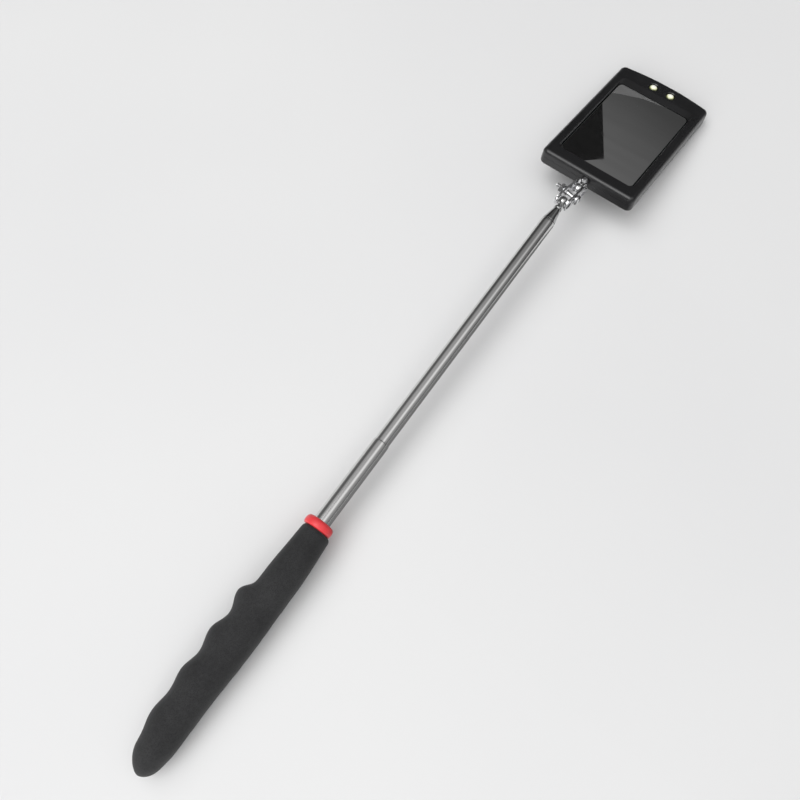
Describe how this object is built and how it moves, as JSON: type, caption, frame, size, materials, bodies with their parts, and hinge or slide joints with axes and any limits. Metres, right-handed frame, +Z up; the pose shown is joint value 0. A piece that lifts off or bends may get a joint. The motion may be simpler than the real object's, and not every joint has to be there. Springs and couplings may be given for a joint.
{
  "type": "telescoping inspection mirror",
  "caption": "Rectangular mirror with two lamps on a swivelling two-ball knuckle at the end of a telescoping steel mast with a ridged foam grip.",
  "frame": {"origin": "bottom centre of the bounding box, on the surface that the tool lies on", "axes": "+Y along the mast from the grip to the head, +Z up, mirror side up, finger ridges towards -X"},
  "size_m": [0.0512, 0.3984, 0.0246],
  "materials": {
    "foam_black": "matte moulded foam",
    "plastic_red": "semi-gloss",
    "steel_satin": "satin drawn steel",
    "brass": "satin",
    "chrome": "bright",
    "zinc": "zinc plated",
    "plastic_black": "fine matte",
    "plastic_grey": "matte",
    "mirror": "silvered glass",
    "foam_pale": "adhesive foam",
    "lamp_resin": "clear cast resin over a yellow phosphor",
    "board_green": "solder mask",
    "cell_steel": "nickel plated"
  },
  "bodies": {
    "handle": {"grip": "foam_black", "red_collar": "plastic_red", "tube_1": "steel_satin", "tube_1_foot_plug": "zinc"},
    "sleeve_2": {"tube_2_sleeve": "brass"},
    "section_2": {"tube_2": "steel_satin"},
    "sleeve_3": {"tube_3_sleeve": "brass"},
    "section_3": {"tube_3": "steel_satin"},
    "sleeve_4": {"tube_4_sleeve": "brass"},
    "section_4": {"tube_4": "steel_satin", "tip_ball_stud": "chrome"},
    "knuckle": {"clamp_plate_left": "chrome", "clamp_plate_right": "chrome", "clamp_screw": "chrome", "clamp_washer": "zinc", "clamp_nut": "chrome"},
    "ball_stud": {"upper_ball_stud": "chrome", "stud_clip": "zinc"},
    "head": {"front_bezel": "plastic_black", "rear_housing": "plastic_black", "mirror_glass": "mirror", "mirror_pad": "foam_pale", "lamp_left": "lamp_resin", "lamp_right": "lamp_resin", "lamp_board": "board_green", "coin_cell_left": "cell_steel", "coin_cell_right": "cell_steel", "contact_left": "brass", "contact_right": "brass", "contact_bridge": "brass", "switch_body": "zinc", "screw_stem_left": "zinc", "screw_stem_right": "zinc", "screw_lamp_left": "zinc", "screw_lamp_right": "zinc"},
    "battery_cover": {"battery_door": "plastic_black"},
    "switch": {"switch_knob": "plastic_grey"}
  },
  "joints": [
    {"name": "tube_2_slide", "type": "slide", "parent": "handle", "child": "sleeve_2", "axis": [0, 0.999, 0.0441], "range_m": [-0.126, 0]},
    {"name": "tube_2_spin", "type": "hinge", "parent": "sleeve_2", "child": "section_2", "pos_m": [-0.00255, 0.09736, 0.02139], "axis": [0, 0.999, 0.0441], "continuous": true},
    {"name": "tube_3_slide", "type": "slide", "parent": "section_2", "child": "sleeve_3", "axis": [0, 0.999, 0.0441], "range_m": [0, 0.126]},
    {"name": "tube_3_spin", "type": "hinge", "parent": "sleeve_3", "child": "section_3", "pos_m": [-0.00255, 0.09736, 0.02139], "axis": [0, 0.999, 0.0441], "continuous": true},
    {"name": "tube_4_slide", "type": "slide", "parent": "section_3", "child": "sleeve_4", "axis": [0, 0.999, 0.0441], "range_m": [0, 0.12]},
    {"name": "tube_4_spin", "type": "hinge", "parent": "sleeve_4", "child": "section_4", "pos_m": [-0.00255, 0.09736, 0.02139], "axis": [0, 0.999, 0.0441], "continuous": true},
    {"name": "lower_ball_pitch", "type": "hinge", "parent": "section_4", "child": "knuckle", "pos_m": [-0.00255, 0.09736, 0.02139], "axis": [0.9854, -0.1702, 0], "range_deg": [-50, 60]},
    {"name": "upper_ball_pitch", "type": "hinge", "parent": "knuckle", "child": "ball_stud", "pos_m": [-0.00075, 0.10779, 0.02093], "axis": [0.9854, -0.1702, 0], "range_deg": [-47, 63]},
    {"name": "head_twist", "type": "hinge", "parent": "ball_stud", "child": "head", "pos_m": [-0.00075, 0.10779, 0.02093], "axis": [0.0154, 0.9825, -0.1857], "continuous": true},
    {"name": "switch_travel", "type": "slide", "parent": "head", "child": "switch", "axis": [0.9999, -0.0157, 0], "range_m": [0, 0.002]},
    {"name": "battery_cover_lift", "type": "slide", "parent": "head", "child": "battery_cover", "axis": [-0.0029, -0.1856, -0.9826], "range_m": [0, 0.012]}
  ]
}
